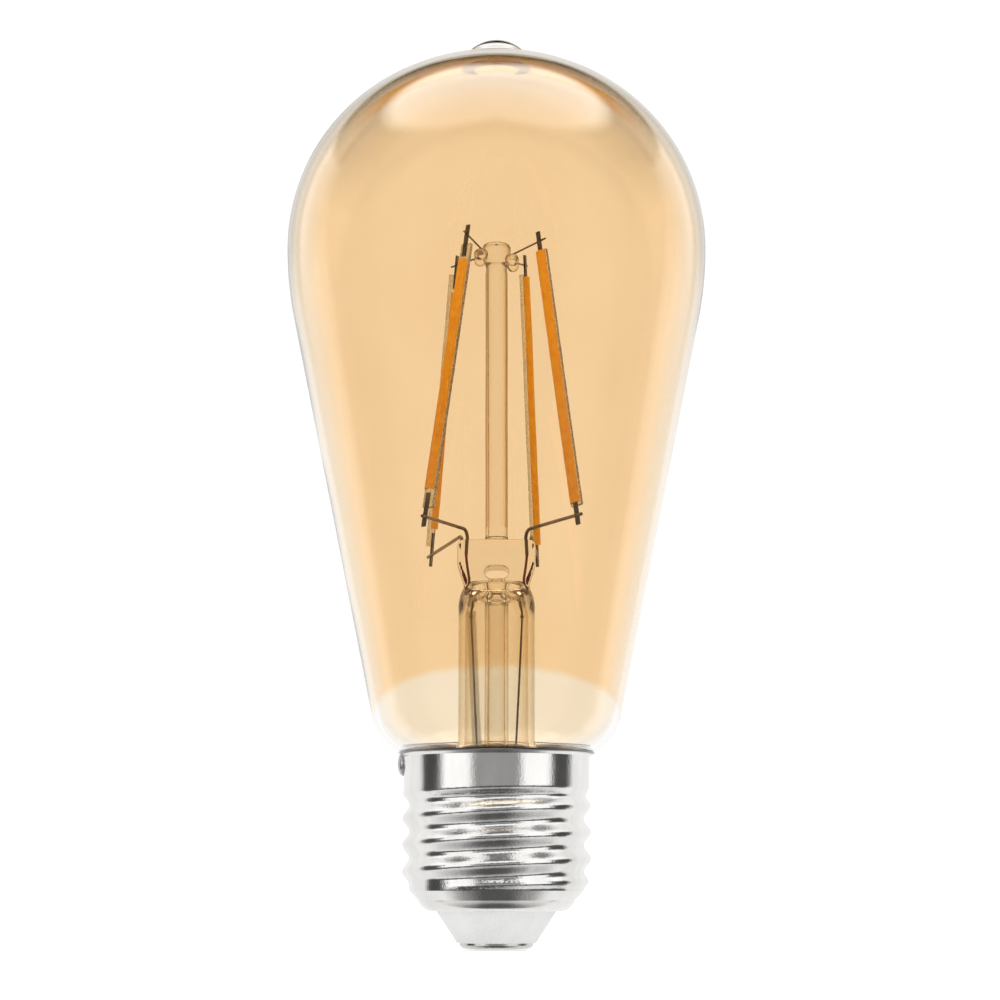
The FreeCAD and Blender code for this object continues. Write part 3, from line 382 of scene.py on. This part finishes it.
def turned_piece(mesh, name, around, material, slot, *nodes):
    """Spins the outline into a closed round piece that stands for its CAD nodes."""
    bmesh.ops.spin(mesh, geom=mesh.verts[:] + mesh.edges[:], cent=(0, 0, 0), axis=(0, 0, 1),
                   angle=2 * math.pi, steps=around, use_merge=True)
    bmesh.ops.remove_doubles(mesh, verts=mesh.verts[:], dist=1e-7)
    bmesh.ops.recalc_face_normals(mesh, faces=mesh.faces[:])
    for face in mesh.faces:
        face.smooth = True
    data = bpy.data.meshes.new(name)
    mesh.to_mesh(data)
    mesh.free()
    piece = bpy.data.objects.new(name, data)
    scene.collection.objects.link(piece)
    data.materials.append(material)
    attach(piece, "root")
    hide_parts(*nodes)
    return piece


BULB_ROUND = 160
NECK_RADIUS = 12.2
NECK_BORE = 11.25
NECK_BOTTOM = 22.8
WIDEST_HEIGHT = 98.7
SIDE_CENTRE = (-20.35, WIDEST_HEIGHT)
SHOULDER_CENTRE = (2.05, WIDEST_HEIGHT)
CROWN_CENTRE = (0, 95.5)
CORNER_CENTRE = (9.56, 33.59)
envelope = bmesh.new()
point = first_point(envelope, 0, 130)
point = arc_to(envelope, point, (0, 124.4), 4.0, 128.32, 10)
point = arc_to(envelope, point, (5.97, 128.67), 5.6, 126.7, 6)
point = arc_to(envelope, point, CROWN_CENTRE, 17.09, 122.2, 14)
point = arc_to(envelope, point, SHOULDER_CENTRE, 29.95, WIDEST_HEIGHT, 30)
point = arc_to(envelope, point, SIDE_CENTRE, 28.94, 88.67, 8)
for x, z in ((25.08, 69.78), (21.24, 50.89), (17.4, 32.0)):
    point = line_to(envelope, point, x, z)
point = arc_to(envelope, point, CORNER_CENTRE, NECK_RADIUS, 26.04, 12)
for x, z in ((NECK_RADIUS, NECK_BOTTOM), (NECK_BORE, NECK_BOTTOM), (NECK_BORE, 26.75)):
    point = line_to(envelope, point, x, z)
point = arc_to(envelope, point, CORNER_CENTRE, 16.469, 32.189, 12)
for x, z in ((20.315, 51.08), (24.162, 69.97), (28.009, 88.859)):
    point = line_to(envelope, point, x, z)
point = arc_to(envelope, point, SIDE_CENTRE, 29.0, WIDEST_HEIGHT, 8)
point = arc_to(envelope, point, SHOULDER_CENTRE, 16.578, 121.4, 30)
point = arc_to(envelope, point, CROWN_CENTRE, 0, 126.25, 14)
point.co.x = 0

amber = finish("amber_coated_glass", 0.0)
amber_shader = shader_of(amber)
amber_tree = amber.node_tree
amber_shader.inputs["Transmission Weight"].default_value = 1.0
amber_shader.inputs["IOR"].default_value = 1.5
where = amber_tree.nodes.new("ShaderNodeTexCoord")
apart = amber_tree.nodes.new("ShaderNodeSeparateXYZ")
feed(amber_tree, apart.inputs[0], where.outputs["Object"])
COAT_EDGE = 0.0317
COAT_TILT = 0.33
COAT_TILT_BEHIND = 0.5
COAT_RAGGED = 0.0012
COAT_SOFT = 0.0007
NUB_FOOT = 0.1262
NUB_SOFT = 0.002
WAIST = 0.078
WAIST_SOFT = 0.018
SHOULDER = 0.108
SHOULDER_SOFT = 0.008
PAINTED_CROWN_RIM_FROM = 0.117
PAINTED_CROWN_RIM_SOFT = 0.005


def rising(tree, value, start, length):
    """Nothing below a start, one beyond its length."""
    share = maths(tree, "DIVIDE", maths(tree, "SUBTRACT", value, start), length)
    return maths(tree, "MINIMUM", maths(tree, "MAXIMUM", share, 0.0), 1.0)


height = apart.outputs["Z"]
edge = maths(amber_tree, "MULTIPLY_ADD", apart.outputs["Y"], COAT_TILT, height)
behind_axis = maths(amber_tree, "MAXIMUM", apart.outputs["Y"], 0.0)
edge = maths(amber_tree, "MULTIPLY_ADD", behind_axis, COAT_TILT_BEHIND, edge)
edge = maths(amber_tree, "MULTIPLY_ADD", grain(amber_tree, 120, 2.0), COAT_RAGGED, edge)
coat_and_painted_rim_fade = rising(amber_tree, edge, COAT_EDGE, COAT_SOFT)
bare = maths(amber_tree, "SUBTRACT", 1.0, rising(amber_tree, height, NUB_FOOT, NUB_SOFT))
coat_and_painted_rim_fade = maths(amber_tree, "MULTIPLY", coat_and_painted_rim_fade, bare)
# Painted reflection: where the envelope is seen edge-on, a ramp on the facing value fades its amber out, so
# the rim reads pale grey as the reflected room would make it.
grazing = edge_share(amber_tree)
painted_rim_fade = graded(amber_tree, grazing, (0.49, 1.0), (0.6, 0.5), (0.8, 0.36), (0.92, 0.25))
coat_and_painted_rim_fade = maths(amber_tree, "MULTIPLY", coat_and_painted_rim_fade, painted_rim_fade)
clouds = grain(amber_tree, 60, 2.0)
coat_colour = graded(amber_tree, clouds, (0.3, (0.965, 0.785, 0.56)), (0.7, (0.98, 0.812, 0.59)))
tint = blended(amber_tree, coat_and_painted_rim_fade, (0.985, 0.985, 0.975), coat_colour)
# Painted shade and painted reflection: ramps on the facing value darken the glass colour near the outline.
# The darkening is slight low down, forms a grey band along the sides, and at the crown becomes an amber-brown
# arc with a grey line inside it.
painted_low_rim_shade = graded(amber_tree, grazing, (0.62, 1.0), (0.78, 0.9), (0.9, 0.95))
painted_side_rim_shade = graded(amber_tree, grazing, (0.62, (1.0, 1.0, 1.0)), (0.75, (0.97, 0.95, 0.9)),
                   (0.785, (0.72, 0.69, 0.6)), (0.82, (0.68, 0.65, 0.57)), (0.86, (0.9, 0.88, 0.84)),
                   (1.0, (0.98, 0.97, 0.94)))
painted_crown_rim_shade = graded(amber_tree, grazing, (0.55, (1.0, 1.0, 1.0)), (0.58, (0.86, 0.8, 0.72)),
                    (0.61, (0.86, 0.74, 0.56)), (0.62, (1.0, 0.42, 0.04)), (0.74, (1.0, 0.4, 0.03)),
                    (0.755, (0.97, 0.97, 0.98)))
# Painted shade: above the shoulder, a ramp on the facing value darkens the glass colour, so the crown reads
# darker under its reflection of the overhead light.
painted_crown_shade = graded(amber_tree, grazing, (0.2, 1.0), (0.27, 0.86), (0.37, 0.7), (0.45, 0.6), (0.54, 0.54),
                   (0.6, 0.85))
painted_rim_and_crown_shade = blended(amber_tree, rising(amber_tree, height, WAIST, WAIST_SOFT), painted_low_rim_shade, painted_side_rim_shade)
at_crown = rising(amber_tree, height, PAINTED_CROWN_RIM_FROM, PAINTED_CROWN_RIM_SOFT)
painted_rim_and_crown_shade = blended(amber_tree, at_crown, painted_rim_and_crown_shade, painted_crown_rim_shade)
above_shoulder = rising(amber_tree, height, SHOULDER, SHOULDER_SOFT)
painted_crown_shade_above_shoulder = blended(amber_tree, above_shoulder, (1.0, 1.0, 1.0), painted_crown_shade)
painted_rim_and_crown_shade = blended(amber_tree, 1.0, painted_rim_and_crown_shade, painted_crown_shade_above_shoulder, "MULTIPLY")
feed(amber_tree, amber_shader.inputs["Base Color"], blended(amber_tree, 1.0, tint, painted_rim_and_crown_shade, "MULTIPLY"))
relief(amber, grain(amber_tree, 70, 1.0, (1, 1, 0.3)), 2e-5)
turned_piece(envelope, "blown_envelope", BULB_ROUND, amber, "amber_glass", "glass_bulb")


# ---- Screw cap ----
# The shell is rolled from thin nickel-plated sheet, satin from its forming, and cemented to the neck. A drop
# of tin solder on its rim holds the side wire.
nickel = finish("rolled_nickel", 0.14, 1.0)
nickel_tree = nickel.node_tree
frost = grain(nickel_tree, 4400, 1.0)
smear = grain(nickel_tree, 320, 3.0, (1, 1, 0.3))
feed(nickel_tree, shader_of(nickel).inputs["Base Color"],
     graded(nickel_tree, smear, (0.3, (0.74, 0.73, 0.71)), (0.7, (0.86, 0.85, 0.83))))
feed(nickel_tree, shader_of(nickel).inputs["Roughness"], graded(nickel_tree, smear, (0.3, 0.1), (0.75, 0.2)))
relief(nickel, frost, 1.6e-5)
dress(nickel, "cap_shell")
dress(speckled("cap_cement", (0.45, 0.42, 0.35), (0.68, 0.65, 0.57), 0.8, 1800, 8e-5), "cap_cement")
dress(speckled("tin_solder", (0.42, 0.42, 0.43), (0.7, 0.7, 0.7), 0.28, 1500, 1.6e-4, 1.0, 0.12),
      "side_solder")


# ---- Insulator and centre contact ----
# A pale satin moulding closes the shell from below and carries the plated contact disc, whose land is
# worn by the spring of the holder.
moulding = speckled("pale_moulding", (0.62, 0.62, 0.615), (0.68, 0.68, 0.675), 0.42, 2600, 1.5e-5)
dress(moulding, "cap_insulator")
dress(speckled("contact_disc", (0.5, 0.49, 0.47), (0.74, 0.73, 0.71), 0.24, 3000, 1.6e-5, 1.0, 0.1,
               (0.4, 1, 1)), "centre_contact")


# ---- Studio ----
# White paper lies under the lamp, and behind it the sky is an even white. Plated and glass pieces reflect a
# room with a soft box at each side of the camera, a broad light overhead, and dark space between them.
FLOOR_RADIUS = 6.0
FLOOR_DROP = 0.0002
PAPER_GLOW = 0.42
BACKDROP_LIGHT = 1.08
SCATTERED_LIGHT = 1.3
floor_mesh = bmesh.new()
bmesh.ops.create_circle(floor_mesh, cap_ends=True, radius=FLOOR_RADIUS, segments=96)
floor_data = bpy.data.meshes.new("floor")
floor_mesh.to_mesh(floor_data)
floor_mesh.free()
floor = bpy.data.objects.new("floor", floor_data)
scene.collection.objects.link(floor)
floor.location.z = -FLOOR_DROP
paper = finish("white_paper", 0.9)
shader_of(paper).inputs["Base Color"].default_value = (0.8, 0.8, 0.8, 1)
shader_of(paper).inputs["Specular IOR Level"].default_value = 0.0
shader_of(paper).inputs["Emission Color"].default_value = (1, 1, 1, 1)
shader_of(paper).inputs["Emission Strength"].default_value = PAPER_GLOW
floor_data.materials.append(paper)
floor.visible_glossy = False
floor.visible_transmission = False

studio = bpy.data.worlds.new("studio")
scene.world = studio
studio.use_nodes = True
sky = studio.node_tree
backdrop = sky.nodes["Background"]
look = sky.nodes.new("ShaderNodeTexCoord")
ways = sky.nodes.new("ShaderNodeSeparateXYZ")
feed(sky, ways.inputs[0], look.outputs["Generated"])
toward = maths(sky, "MULTIPLY", ways.outputs["Y"], -1.0)
backward = maths(sky, "MULTIPLY_ADD", ways.outputs["Y"], 0.5, 0.5)
round_angle = maths(sky, "ABSOLUTE", maths(sky, "ARCTAN2", ways.outputs["X"], toward))
turn_share = maths(sky, "DIVIDE", round_angle, math.pi)
walls = graded(sky, turn_share, (0.15, 0.36), (0.19, 1.25), (0.385, 1.25), (0.41, 0.07), (0.57, 0.07),
               (0.6, 1.0), (0.86, 1.0), (0.93, 0.6))
rise = maths(sky, "MULTIPLY_ADD", ways.outputs["Z"], 0.5, 0.5)


def blend(tree, share, first, second):
    """first plus a share of the way to second."""
    return maths(tree, "MULTIPLY_ADD", maths(tree, "SUBTRACT", second, first), share, first)


box_share = graded(sky, turn_share, (0.15, 0.0), (0.19, 1.0), (0.385, 1.0), (0.41, 0.0))
above = graded(sky, rise, (0.64, 0.12), (0.72, 0.12), (0.75, 1.2), (0.87, 1.2), (0.92, 0.2))
above = blend(sky, box_share, above, 1.2)
below = graded(sky, rise, (0.05, 0.1), (0.08, 0.45), (0.21, 0.45), (0.25, 0.08), (0.38, 0.08))
below_side = graded(sky, rise, (0.04, 0.5), (0.2, 1.0), (0.25, 0.1), (0.36, 0.1))
side_share = graded(sky, maths(sky, "ABSOLUTE", ways.outputs["X"]), (0.2, 0.0), (0.5, 1.0))
below = blend(sky, side_share, below, below_side)
room = blend(sky, graded(sky, rise, (0.62, 0.0), (0.65, 1.0)), walls, above)
room = blend(sky, graded(sky, rise, (0.385, 1.0), (0.42, 0.0)), room, below)
behind = graded(sky, backward, (0.6, 0.0), (0.65, 1.0))
room = blend(sky, behind, room, 1.0)

# Bare glass is a perfect mirror, and sees the soft edges of the same room.
front = graded(sky, turn_share, (0.0, 0.1), (0.17, 0.12), (0.25, 0.3), (0.38, 0.3), (0.42, 0.15), (0.56, 0.3))
back = graded(sky, turn_share, (0.58, 0.62), (0.69, 0.78), (0.735, 1.2), (0.77, 0.84), (0.83, 0.78),
              (0.9, 0.76), (0.97, 0.85))
back = blend(sky, graded(sky, rise, (0.55, 1.0), (0.625, 0.0)), back, 1.02)
lifted = maths(sky, "MULTIPLY_ADD", maths(sky, "ABSOLUTE", ways.outputs["X"]), 0.09, rise)
gap_share = graded(sky, lifted, (0.83, 0.0), (0.85, 1.0), (0.935, 1.0), (0.955, 0.0))
back = blend(sky, gap_share, back, 0.01)
clear_room = blend(sky, behind, front, back)
overhead = graded(sky, backward, (0.2, 0.4), (0.32, 1.7), (0.5, 3.2))
clear_room = blend(sky, graded(sky, lifted, (0.94, 0.0), (0.965, 1.0)), clear_room, overhead)
rays = sky.nodes.new("ShaderNodeLightPath")
room = blend(sky, rays.outputs["Is Singular Ray"], room, clear_room)
mirrored = maths(sky, "MINIMUM", rays.outputs["Glossy Depth"], 1.0)
seen = blend(sky, mirrored, BACKDROP_LIGHT, room)
scattered = maths(sky, "MINIMUM", rays.outputs["Diffuse Depth"], 1.0)
seen = blend(sky, scattered, seen, SCATTERED_LIGHT)
backdrop.inputs["Color"].default_value = (1, 1, 1, 1)
feed(sky, backdrop.inputs["Strength"], seen)
scene.view_settings.view_transform = "Standard"
scene.cycles.max_bounces = 24
scene.cycles.transmission_bounces = 24
scene.cycles.glossy_bounces = 10
scene.cycles.diffuse_bounces = 3
